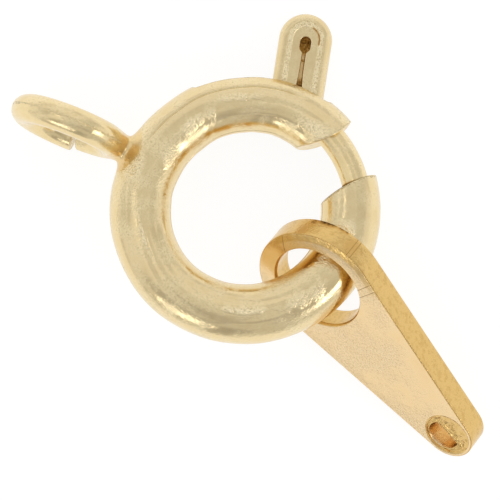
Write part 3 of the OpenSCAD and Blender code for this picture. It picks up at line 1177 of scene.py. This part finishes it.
@dataclass
class SlidingBolt:
    """The bolt's bent wire and its thumb knob, a hairpin pressed flat. Sizes in mm, angles in degrees."""

    bolt_r: float = 2.505
    wire_r: float = 0.305
    # Directions of the wire's two ends, and of the place where the knob's own mesh takes it over
    tip: float = 6.28
    tail: float = 84.718
    join: float = 53.0
    tip_edge: float = 0.09
    # Where the tongue enters the lower cut, at its sides, and how much further on at its top, which places
    # the painted shadow ring on the tongue
    entry: float = 12.8
    entry_bow: float = 1.0
    entry_w: float = 0.7
    # The knob's own plane is the ring's, turned so that the knob points along +Y
    knob_turn: float = -9.0
    knob_x: float = 0.7324
    knob_y: float = 2.3956
    arch_y: float = 3.951
    leg_x: float = 0.32
    leg_r: float = 0.275
    # The pressed panels: half of the metal between them, how far they go outwards from the
    # hairpin's middle line, and the width of the pitted band along their border
    panel_half_t: float = 0.232
    panel_out: float = 0.085
    panel_band: float = 0.11
    # Half of the slit's width at the eye and at the tube
    slit_top: float = 0.042
    slit_foot: float = 0.085
    # Half of the thickness that is left where the legs are pressed together
    web_half: float = 0.06
    eye_y: float = 3.826
    eye_r: float = 0.12
    eye_long: float = 0.06
    # The space that the knob is drawn in, in its own plane, and the size of a cell
    low: tuple[float, float, float] = (-0.4, 1.95, -0.36)
    high: tuple[float, float, float] = (1.5, 4.6, 0.36)
    step: float = 0.0165

    def draw_wire(self) -> MeshDraft:
        """Draws the tongue that closes the gap, as far as the knob.

        Returns:
            The draft.
        """
        back, down = np.array(rounded(self.tip_edge, 8)).T
        first = self.tip + np.degrees(back / self.bolt_r)
        rest = np.linspace(self.tip + 3, self.join + 1, 150)
        angles = np.radians(np.concatenate([first[::-1], rest]))
        radii = self.wire_r - np.concatenate([down[::-1], 0 * rest])
        points, grain = bent_rod(self.bolt_r, angles, radii, 64)
        # A dark ring of painted shadow where the tongue enters the tube, under the rim of the lower cut
        bow = self.entry_bow * np.abs(np.sin(grain[..., 1] / self.wire_r))
        off = (np.degrees(angles)[:, None] - self.entry - bow) / self.entry_w
        draft = MeshDraft()
        draft.rod(points, grain, 0.8 * np.exp(-(off**2)))
        return draft

    def hairpin(self, points: np.ndarray) -> np.ndarray:
        """Distance outwards from the hairpin's middle line, seen from above.

        Args:
            points: Points in the knob's own plane.

        Returns:
            The distances.
        """
        x = points[:, 0] - self.knob_x
        y = points[:, 1] - self.arch_y
        return np.where(y > 0, np.hypot(x, y), np.abs(x)) - self.leg_x

    def slit(self, points: np.ndarray) -> np.ndarray:
        """Distance outwards from the slit and the eye above it.

        Args:
            points: Points in the knob's own plane.

        Returns:
            The distances.
        """
        x = np.abs(points[:, 0] - self.knob_x)
        down = self.eye_y - points[:, 1]
        half = self.slit_top + (self.slit_foot - self.slit_top) * ease(down, 0.5, 1.35)
        eye = np.hypot(x, np.clip(np.abs(down) - self.eye_long, 0, None)) - self.eye_r
        return soft_union(np.maximum(x - half, -down), eye, 0.05)

    def knob_solid(self, points: np.ndarray) -> np.ndarray:
        """Distance to the knob and the stretch of wire that it grows from.

        Args:
            points: Points in the knob's own plane.

        Returns:
            The distances.
        """
        out = self.hairpin(points)
        high = np.abs(points[:, 2])
        floor = self.knob_y - points[:, 1]
        legs = np.maximum(np.hypot(out, points[:, 2]) - self.leg_r, floor)
        fill = np.maximum(np.maximum(out, high - self.panel_half_t), floor)
        knob = soft_union(legs, fill, 0.03)
        # The panels are pressed in on both sides, and slit and eye go deeper
        knob = soft_cut(knob, np.maximum(out - self.panel_out, self.panel_half_t - high), 0.02)
        knob = soft_cut(knob, np.maximum(self.slit(points), self.web_half - high), 0.025)
        azimuth = np.degrees(np.arctan2(points[:, 1], points[:, 0])) + self.knob_turn
        past = np.radians(np.maximum(self.join - azimuth, azimuth - self.tail)) * self.bolt_r
        bar = soft_cut(torus(points, self.bolt_r, self.wire_r), -past, 0.08)
        return soft_union(knob, bar, 0.12)

    def knob_soil_and_shade(self, points: np.ndarray) -> np.ndarray:
        """Share of old polish and painted shade on the knob.

        Args:
            points: Its points in its own plane.

        Returns:
            The shares.
        """
        x, y, z = points.T
        high = np.abs(z)
        # Painted shade sits on the slit's walls and floor, most at the eye and the foot, with blots on the
        # floor
        inside = 1 - ease(self.slit(points), -0.012, 0.02)
        deep = 1 - ease(high, self.web_half + 0.02, self.panel_half_t - 0.02)
        ground = 1 - ease(high, self.web_half + 0.005, self.web_half + 0.03)
        eye = ease(y, self.eye_y - 0.3, self.eye_y - 0.12)
        foot = 1 - ease(y, self.knob_y + 0.62, self.knob_y + 0.75)
        blots = ease(np.sin(y * 31.0) + np.sin(y * 13.0 + 1.0), 0.9, 1.6)
        on_floor = np.clip(0.2 + 0.3 * blots + 0.45 * eye + 0.35 * foot, 0, 0.8)
        on_walls = np.clip(0.5 + 0.4 * eye + 0.4 * foot, 0, 0.9)
        # It also darkens a crack along the panel's rim, on one side of the arch
        crack = np.exp(-(((self.hairpin(points) - self.panel_out + self.panel_band) / 0.016) ** 2))
        crack = crack * ease(x, self.knob_x + 0.08, self.knob_x + 0.13)
        crack = crack * ease(y, self.arch_y - 0.12, self.arch_y - 0.08) * ease(z, 0.1, 0.2)
        return np.maximum(inside * (ground * on_floor + (deep - ground).clip(0) * on_walls), 0.75 * crack)

    def draw_knob(self) -> MeshDraft:
        """Draws the thumb knob, with the pitted band along the border of its panels.

        Returns:
            The draft.
        """
        points, faces = surface_net(self.knob_solid, self.low, self.high, self.step)
        out = self.hairpin(points)
        inner = self.panel_out - self.panel_band
        # The pitted band's pale tone and dark specks are painted glints and painted shade
        patch = ease(out, inner - 0.03, inner + 0.01)
        patch = patch * (1 - ease(out, self.panel_out - 0.02, self.panel_out + 0.02))
        patch = patch * ease(np.abs(points[:, 2]), self.panel_half_t - 0.03, self.panel_half_t - 0.01)
        turn = math.radians(self.knob_turn)
        plane = OwnPlane(np.zeros(3), np.stack([circle_dir(turn), circle_dir(turn + math.pi / 2), UP]))
        draft = MeshDraft()
        draft.add(plane.to_ring(points), faces, points[:, [1, 0, 2]], patch, self.knob_soil_and_shade(points))
        return draft

    def build(self) -> None:
        """Builds and dresses the wire and the knob."""
        Piece(self.draw_wire(), "bolt_tongue", "bolt", Slot.BOLT, DRAWN_WIRE.make(), Body.BOLT).dress()
        Piece(self.draw_knob(), "thumb_knob", "bolt", Slot.BOLT, PRESSED_WIRE.make(), Body.BOLT).dress()


@dataclass
class CoilSpring:
    """The coil between the bolt's tail and the web, with closer turns at its ends. Sizes in mm,
    angles in degrees."""

    ring_r: float = 2.335
    coil_r: float = 0.385
    wire_r: float = 0.058
    # Directions of the pushed end and of the fixed end, and how far the bolt pushes
    start: float = 86.926
    end: float = 186.111
    turns: int = 16
    travel: float = 34.5
    steps_a_turn: int = 36
    sides: int = 12

    def ends(self) -> list[np.ndarray]:
        """The middle of the coil's fixed end and of its pushed end, in the plane of the ring."""
        return [circle_dir(math.radians(at)) * self.ring_r for at in (self.end, self.start)]

    def directions(self) -> np.ndarray:
        """Directions of the coil's steps, so spaced that the pressed coil is even.

        Returns:
            The directions in radians, from the pushed end to the fixed end.
        """
        fine = np.radians(np.linspace(self.start, self.end, 4001))
        fixed, pushed = self.ends()
        line = pushed - fixed
        follow = ease((circle_dir(fine) * self.ring_r - fixed) @ line / (line @ line), 0, 1)
        pressed = fine + math.radians(self.travel) * follow
        even = np.linspace(pressed[0], pressed[-1], self.turns * self.steps_a_turn + 1)
        return np.interp(even, pressed, fine)

    def draw(self) -> MeshDraft:
        """Draws the coil.

        Returns:
            The draft.
        """
        where = self.directions()
        turn = np.arange(len(where))[:, None] * FULL_TURN / self.steps_a_turn
        radial = circle_dir(where)
        out = radial * np.cos(turn) + UP * np.sin(turn)
        path = radial * self.ring_r + out * self.coil_r
        along = np.gradient(path, axis=0)
        along /= np.linalg.norm(along, axis=1)[:, None]
        side = np.cross(along, out)
        corner = np.linspace(0, FULL_TURN, self.sides + 1)
        points = path[:, None] + self.wire_r * (out[:, None] * np.cos(corner)[:, None]
                                                + side[:, None] * np.sin(corner)[:, None])
        # The lines of drawing are much longer than they are wide
        length = np.concatenate([[0], np.cumsum(np.linalg.norm(np.diff(path, axis=0), axis=1))])
        grain = np.broadcast_arrays(length[:, None] * 0.05, corner * self.wire_r, 0.0)
        draft = MeshDraft()
        draft.rod(points, np.stack(grain, -1))
        return draft

    def build(self) -> None:
        """Builds the coil."""
        steel = SpringSteelFinish().make()
        piece = Piece(self.draw(), "coil_spring", "spring", Slot.SPRING, steel, None).dress()
        fixed, pushed = (PLANE.place(point) for point in self.ends())
        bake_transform(piece)


@dataclass(frozen=True)
class Stain:
    """Old polish on the tab's edge: its direction from the hole and half of its width in degrees,
    its height and half of its size upwards in mm, and its share."""

    at: float
    half: float
    height: float
    high: float
    share: float


@dataclass
class ChainTab:
    """The teardrop plate that hangs on the ring. Sizes in mm, angles in degrees.

    In its own plane, x runs from the middle of the large hole to the eye, and z out of its front.
    """

    ring_r: float = 2.335
    direction: float = -42.5
    turn_out: float = 4.0
    lean: float = 33.0
    droop: float = 15.5
    pitch: float = 4.46
    hole_r: float = 1.04128
    rim: float = 0.43
    tip_r: float = 0.62
    half_t: float = 0.3
    edge: float = 0.028
    hole_bevel: float = 0.05
    eye_r: float = 0.36
    eye_aside: float = 0.12
    # The punch went in at a slant, so the eye is this much further aside in front and less behind
    eye_slant: float = 0.08
    # It also narrows by this much towards the back
    eye_taper: float = 0.03
    eye_bevel: float = 0.05
    # Where the edge of the burr in the front of the eye lies
    burr_y: float = -0.03
    seat_r: float = 0.55
    seat_sink: float = 0.07
    seat_edge: float = 0.02
    # How far the punch left the seat's floor uneven
    seat_rough: float = 0.011
    stains: tuple[Stain, ...] = (
        Stain(151, 5, 0.12, 0.22, 0.3), Stain(134, 12, -0.25, 0.08, 0.9), Stain(118, 6, -0.26, 0.07, 0.7),
        Stain(146, 3, -0.2, 0.1, 0.7), Stain(104, 8, 0.0, 0.3, 0.2))
    # Rollover of the front face at its outline: how wide, and how deep along the flanks and over
    # the hole
    roll_w: float = 0.24
    roll_depth: float = -0.005
    roll_depth_arc: float = 0.036
    # Points round the large hole and round the eye
    hole_count: int = 120
    eye_count: int = 96

    def plane(self) -> OwnPlane:
        """The plate's own plane.

        Returns:
            The plane, with its directions along, across and out of the plate's front.
        """
        way = math.radians(self.direction + self.turn_out)
        tangent = circle_dir(way + math.pi / 2)
        lean, droop = math.radians(self.lean), math.radians(self.droop)
        normal = math.sin(lean) * UP - math.cos(lean) * tangent
        side = math.cos(lean) * UP + math.sin(lean) * tangent
        length = math.cos(droop) * circle_dir(way) - math.sin(droop) * side
        return OwnPlane(circle_dir(math.radians(self.direction)) * self.ring_r,
                        np.stack([length, np.cross(normal, length), normal]))

    def outline(self, inset: float) -> np.ndarray:
        """The teardrop outline, moved inwards.

        Args:
            inset: How far, in mm.

        Returns:
            Points along it, as x and y.
        """
        big = self.hole_r + self.rim
        tangent = math.acos((big - self.tip_r) / self.pitch)
        arc = (big - inset) * circle_dir(np.linspace(tangent, FULL_TURN - tangent, 150))[:, :2]
        tip = (self.tip_r - inset) * circle_dir(np.linspace(-tangent, tangent, 60))[:, :2] + [self.pitch, 0]
        share = np.linspace(0, 1, 42)[1:-1, None]
        return np.vstack([arc, arc[-1] + (tip[0] - arc[-1]) * share,
                          tip, tip[-1] + (arc[0] - tip[-1]) * share])

    @staticmethod
    def round_hole(radius: float, middle: float, count: int) -> np.ndarray:
        """Points round a hole, as x and y."""
        return radius * circle_dir(np.linspace(0, FULL_TURN, count + 1)[:-1])[:, :2] + [middle, 0]

    def rolled(self, flat: np.ndarray) -> tuple[np.ndarray, np.ndarray]:
        """How deep the front face has rolled over at the outline, and its share over the hole.

        Args:
            flat: Points, as x and y.

        Returns:
            The depths and the shares.
        """
        arc = (1 - ease(flat[:, 0], -0.5, 1.3)) * ease(flat[:, 1], -0.7, 0.3)
        return self.roll_depth + (self.roll_depth_arc - self.roll_depth) * arc, arc

    def add_loops(self, draft: MeshDraft, rows: list[np.ndarray], patch: Sequence[float],
                  soil_and_shade: np.ndarray | float = 0.0) -> None:
        """Adds a wall from rows of closed loops.

        Args:
            draft: The draft.
            rows: The loops, in the plate's own plane.
            patch: Each loop's share of a cut patch, whose deeper tone is painted shade and reflection.
            soil_and_shade: Shares of residue and painted shade, loops by points.
        """
        grid = np.stack(rows)
        draft.sheet(self.plane().to_ring(grid), grid, np.array(patch)[:, None], soil_and_shade, closed=True)

    def edge_wall(self, draft: MeshDraft) -> None:
        """Draws the plate's edge with its rounded corners.

        Args:
            draft: The draft.
        """
        top = [(inset, self.half_t - down) for inset, down in rounded(self.edge, 6)]
        middle = [(0.0, z) for z in np.linspace(top[-1][1], -top[-1][1], 7)[1:-1]]
        rows = []
        for inset, z in top + middle + [(inset, -z) for inset, z in top[::-1]]:
            loop = self.outline(inset)
            rows.append(np.column_stack([loop, z - self.rolled(loop)[0] * max(0.0, z / self.half_t)]))
        # The wall and its rounded edges take the deeper worked tone as painted shade and reflection
        patch = [0.0] + [1.0] * (len(rows) - 2) + [0.0]
        x, y, z = np.moveaxis(np.stack(rows), -1, 0)
        soil_and_shade = np.zeros(x.shape)
        # Painted shade as a dark line along the front edge's rounding
        soil_and_shade[1:3] = 0.35
        around = np.degrees(np.arctan2(y, x))
        for stain in self.stains:
            away = np.hypot((around - stain.at) / stain.half, (z - stain.height) / stain.high)
            soil_and_shade = np.maximum(soil_and_shade, stain.share * (1 - ease(away, 0.5, 1.2)))
        self.add_loops(draft, rows, patch, soil_and_shade)

    def hole_wall(self, draft: MeshDraft) -> None:
        """Draws the large hole's wall and its two bevels, with softened corners.

        Args:
            draft: The draft.
        """
        bevel = self.hole_bevel
        soft = bevel * 0.35
        profile = [(bevel, 0.0), (bevel - soft * 0.55, soft * 0.18), (bevel - soft, soft * 0.62),
                   (bevel * 0.5, bevel * 0.55), (soft * 0.5, bevel - soft * 0.3),
                   (soft * 0.12, bevel + soft * 0.35), (0.0, bevel + soft)]
        front = [(out, self.half_t - down) for out, down in profile]
        straight = [(0.0, z) for z in np.linspace(front[-1][1], -front[-1][1], 8)[1:-1]]
        rows, patch = [], []
        for out, z in front + straight + [(out, -z) for out, z in front[::-1]]:
            loop = self.round_hole(self.hole_r + out, 0.0, self.hole_count)
            rows.append(np.column_stack([loop, np.full(self.hole_count, z)]))
            # The bevels take the deeper worked tone as painted shade and reflection
            patch.append(0.8 if out < bevel - soft else 0.0)
        self.add_loops(draft, rows, patch)

    def eye(self, draft: MeshDraft) -> None:
        """Draws the eye: the seat that the punch left, the hole's wall and the bevel behind it.

        Args:
            draft: The draft.
        """
        count, edge, steps = self.eye_count, self.seat_edge, 14
        bumps = np.random.default_rng(7).normal(0.0, self.seat_rough, (steps, count))
        bumps = (bumps + np.roll(bumps, 1, 1) + np.roll(bumps, 2, 1)) / 1.7
        # The floor is calmer on its lower side
        bumps *= 0.25 + 0.75 * ease(np.sin(np.linspace(0, FULL_TURN, count + 1)[:-1]), -0.5, 0.3)
        floor = self.half_t - self.seat_sink
        # Each row: its share of the eye's offset, its radius, its height and its share of cut metal, whose
        # deeper tone is painted shade and reflection
        rows = [(0.0, self.seat_r, self.half_t, 0.6),
                (0.0, self.seat_r - edge * 0.4, self.half_t - edge * 0.4, 1.0)]
        for share, bump in zip(np.linspace(0, 1, steps), bumps):
            radius = self.seat_r - edge + (self.eye_r + edge - self.seat_r + edge) * share
            height = self.half_t - edge - (self.seat_sink - edge) * ease(share, 0.0, 0.6)
            calm = ease(share, 0.0, 0.12) * (1 - ease(share, 0.9, 1.0) * 0.6)
            rows.append((share, radius, height + bump * calm, 1.0))
        rows.append((1.0, self.eye_r + 0.005, floor - edge * 0.5, 0.5))
        top, foot = floor - self.eye_bevel * 0.5, self.eye_bevel - self.half_t
        rows += [(1.0, self.eye_r - self.eye_taper * share, top + (foot - top) * share, 0.1)
                 for share in np.linspace(0, 1, 9)]
        rows += [(1.0, self.eye_r - self.eye_taper + (self.eye_taper + self.eye_bevel) * share,
                  foot - self.eye_bevel * share, 0.4) for share in (0.15, 0.5, 0.85, 1.0)]
        grid = []
        for share, radius, height, _ in rows:
            loop = self.round_hole(radius, self.pitch, count)
            slant = self.eye_slant * (2 * (np.mean(height) + self.half_t) / (floor + self.half_t) - 1)
            loop[:, 1] -= (self.eye_aside + min(slant, self.eye_slant)) * share
            # A burr stands into the front of the eye from its upper side
            loop[:, 1] -= 0.9 * np.clip(loop[:, 1] - self.burr_y, 0, None) * share * ease(height, -0.05, 0.1)
            grid.append(np.column_stack([loop, np.broadcast_to(height, count)]))
        self.add_loops(draft, grid, [row[3] for row in rows])

    def eye_border(self, way: int) -> tuple[float, float]:
        """The border of a face round the eye.

        Args:
            way: 1 for the front face and -1 for the back one.

        Returns:
            Its radius, and how far aside it is.
        """
        if way > 0:
            return self.seat_r, 0.0
        return self.eye_r + self.eye_bevel, self.eye_aside - self.eye_slant

    def face(self, draft: MeshDraft, way: int) -> None:
        """Draws one face between the outline and the two holes.

        Args:
            draft: The draft.
            way: 1 for the front face and -1 for the back one.
        """
        # A second row of points this far from each border keeps the shading of the border flat
        support = 0.012
        eye, aside = self.eye_border(way)
        hole = self.hole_r + self.hole_bevel
        borders = [self.outline(self.edge + inset) for inset in (0.0, support)]
        borders += [self.round_hole(hole + inset, 0.0, self.hole_count) for inset in (0.0, support)]
        borders += [self.round_hole(eye + inset, self.pitch, self.eye_count) - [0.0, aside]
                    for inset in (0.0, support)]
        verts, edges = [], []
        for loop in borders:
            first, count = len(verts), len(loop)
            verts += [Vector(point) for point in loop]
            edges += [(first + k, first + (k + 1) % count) for k in range(count)]
        # Loops of points where the front rolls over, and a lattice over the flat middle
        if way > 0:
            for k in range(1, 6):
                loop = self.outline(self.edge + self.roll_w * k / 6)
                verts += [Vector(point) for point in loop[self.depth(loop, way, False) > support * 3]]
        big = self.hole_r + self.rim
        lattice = np.stack(np.meshgrid(np.arange(-big, self.pitch + 1, 0.1), np.arange(-big, big, 0.1)), -1)
        lattice = lattice.reshape(-1, 2)
        verts += [Vector(point) for point in lattice[self.depth(lattice, way) > self.roll_w]]
        out, _, faces, *_ = geometry.delaunay_2d_cdt(verts, edges, [], 0, 1e-7)
        flat = np.array(out)
        faces = np.array([face for face in faces if len(face) == 3])
        faces = faces[self.depth(flat[faces].mean(1), way) > -1e-9]
        height = np.full(len(flat), way * self.half_t)
        patch = 0.0
        if way > 0:
            fall = np.clip(1 - (-self.outside(flat) - self.edge) / self.roll_w, 0, 1)
            depth, arc = self.rolled(flat)
            height -= depth * fall**1.5
            # The rolled rim over the hole takes the deeper worked tone as painted shade
            patch = arc * ease(fall, 0.2, 0.6)
        points = np.column_stack([flat, height])
        draft.add(self.plane().to_ring(points), faces, points, patch)

    def outside(self, flat: np.ndarray) -> np.ndarray:
        """Distance outwards from the teardrop outline.

        Args:
            flat: Points, as x and y.

        Returns:
            The distances, negative inside.
        """
        big = self.hole_r + self.rim
        x, y = flat[:, 0], np.abs(flat[:, 1])
        tangent = math.acos((big - self.tip_r) / self.pitch)
        along = x * math.sin(tangent) - y * math.cos(tangent)
        flank = x * math.cos(tangent) + y * math.sin(tangent) - big
        tip = np.hypot(x - self.pitch, y) - self.tip_r
        far = np.where(along > self.pitch * math.sin(tangent), tip, flank)
        return np.where(along < 0, np.hypot(x, y) - big, far)

    def depth(self, flat: np.ndarray, way: int, outline: bool = True) -> np.ndarray:
        """Distance inwards from a face's own borders.

        Args:
            flat: Points of the face, as x and y.
            way: 1 for the front face and -1 for the back one.
            outline: Whether the outline counts besides the two holes.

        Returns:
            The distances, negative past a border.
        """
        x, y = flat.T
        eye, aside = self.eye_border(way)
        inner = np.minimum(np.hypot(x, y) - self.hole_r - self.hole_bevel,
                           np.hypot(x - self.pitch, y + aside) - eye)
        return np.minimum(-self.outside(flat) - self.edge, inner) if outline else inner

    def build(self) -> None:
        """Builds and dresses the tab."""
        draft = MeshDraft()
        self.edge_wall(draft)
        self.hole_wall(draft)
        self.eye(draft)
        self.face(draft, 1)
        self.face(draft, -1)
        Piece(draft, "chain_tab_plate", "chain_tab", Slot.TAB, STAMPED_SHEET.make(), Body.CLASP).dress()


# Studio


@dataclass
class Studio:
    """A light table, a soft tent of light and the camera over them. Sizes in metres.

    Directions of the lights are as the camera sees them: azimuth counter-clockwise from the
    picture's right, and elevation up to the camera, both in degrees.
    """

    # The ring's axis as the camera sees it, with x right, y up and z to the camera
    seen_axis: tuple[float, float, float] = (0.0553, 0.1086, 0.9925)
    # The place in the middle of the picture, and the camera's distance and field of view there
    aim_mm: tuple[float, float] = (0.0889, -0.911)
    distance: float = 0.12
    width: float = 0.011111
    sensor_mm: float = 36.0
    # Brightness of the tent, where 1 is white, and what its folds, its dark side, its foot and
    # its top add to it
    tent: float = 0.79
    folds: float = 0.1
    shade: float = -0.21
    foot_light: float = 0.08
    top_light: float = 0.06
    fold_scale: float = 1.8
    table_half: float = 1.5
    floor_glow: float = 0.86
    light_away: float = 0.5

    def turn(self) -> Quaternion:
        """The camera's turn from straight down."""
        return PLANE.turn() @ Vector(self.seen_axis).normalized().rotation_difference(Vector(UP))

    def toward(self, azimuth: float, elevation: float) -> Vector:
        """Unit vector in the row frame for a direction that the camera sees, in degrees."""
        a, e = math.radians(azimuth), math.radians(elevation)
        return self.turn() @ Vector((math.cos(a) * math.cos(e), math.sin(a) * math.cos(e), math.sin(e)))

    def camera(self) -> None:
        """Makes the camera at the photograph's angle."""
        data = bpy.data.cameras.new("camera")
        data.sensor_width = self.sensor_mm
        data.lens = self.sensor_mm * self.distance / self.width
        data.clip_start = 0.01
        data.clip_end = 10.0
        camera = bpy.data.objects.new("camera", data)
        camera.rotation_mode = "QUATERNION"
        camera.rotation_quaternion = self.turn()
        camera.location = self.turn() @ Vector((self.aim_mm[0] * MM, self.aim_mm[1] * MM, self.distance))
        bpy.context.scene.collection.objects.link(camera)
        bpy.context.scene.camera = camera

    def floor(self) -> None:
        """Makes the light table under the clasp, of white acrylic that glows evenly."""
        half, z = self.table_half, PLANE.table_mm * MM
        mesh = bpy.data.meshes.new("light_table")
        corners = [(-half, -half, z), (half, -half, z), (half, half, z), (-half, half, z)]
        mesh.from_pydata(corners, [], [(0, 1, 2, 3)])
        table = bpy.data.objects.new("light_table", mesh)
        bpy.context.scene.collection.objects.link(table)
        material = bpy.data.materials.new("acrylic_light_table")
        f = Nodes(material, "Principled BSDF")
        f.fill(f.root, {"Base Color": linear("#808080"), "Roughness": 0.6, "Specular IOR Level": 0.0,
                        "Emission Color": linear("#FFFFFF"), "Emission Strength": self.floor_glow})
        mesh.materials.append(material)

    def world(self) -> None:
        """Fills the tent with soft light: brighter at its foot and top, darker on one side, folded."""
        world = bpy.data.worlds.new("tent")
        f = Nodes(world, "Background")
        place = f.add("TexCoord", ())
        fold = f.add("TexNoise", {"Vector": place, "Scale": self.fold_scale, "Detail": 0.0})
        crisp = f.add("MapRange", (fold, 0.46, 0.54, -1.0, 1.0))
        glow = f.add("Math", (crisp, self.folds, self.tent), operation="MULTIPLY_ADD")
        for way, low, high, light in ((self.toward(270, 24), 0.35, 0.9, self.shade),
                                      (-Vector(UP), -0.38, 0.0, self.foot_light),
                                      (self.toward(0, 90), 0.7, 1.0, self.top_light)):
            facing = f.add("VectorMath", (place, way), 1, operation="DOT_PRODUCT")
            share = f.add("MapRange", (facing, low, high), interpolation_type="SMOOTHSTEP")
            glow = f.add("Math", (share, light, glow), operation="MULTIPLY_ADD")
        f.fill(f.root, {"Color": linear("#FFFFFF"), "Strength": glow})
        bpy.context.scene.world = world

    def softbox(self, name: str, azimuth: float, elevation: float, size: tuple[float, float],
                glow: float) -> None:
        """Makes one soft rectangular light that faces the clasp.

        Args:
            name: The light's name.
            azimuth: Direction of the light as the camera sees it, in degrees.
            elevation: Its height towards the camera, in degrees.
            size: Its width and height.
            glow: Its brightness, where 1 is white.
        """
        data = bpy.data.lights.new(name, "AREA")
        data.shape = "RECTANGLE"
        data.size, data.size_y = size
        data.energy = glow * size[0] * size[1] * math.pi
        light = bpy.data.objects.new(name, data)
        back = self.toward(azimuth, elevation)
        light.location = back * self.light_away
        light.rotation_mode = "QUATERNION"
        light.rotation_quaternion = back.to_track_quat("Z", "Y")
        light.visible_camera = False
        bpy.context.scene.collection.objects.link(light)

    def build(self) -> None:
        """Sets up floor, lights, camera and plain colours."""
        self.camera()
        self.floor()
        self.world()
        self.softbox("key", -31, 31, (0.22, 0.14), 2.6)
        self.softbox("low_side", 240, 22, (0.28, 0.09), 1.9)
        self.softbox("loop_card", 150, 62, (0.05, 0.2), 0.8)
        view = bpy.context.scene.view_settings
        view.view_transform = "Standard"
        view.look = "None"


def main() -> None:
    """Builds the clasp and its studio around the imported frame."""
    logging.basicConfig(level=logging.INFO, format="%(message)s")
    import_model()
    Studio().build()
    ring = HollowRing()
    ring.build()
    EndLoop(ring).build()
    SlidingBolt().build()
    CoilSpring().build()
    ChainTab().build()
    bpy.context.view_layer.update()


if __name__ == "__main__":
    main()
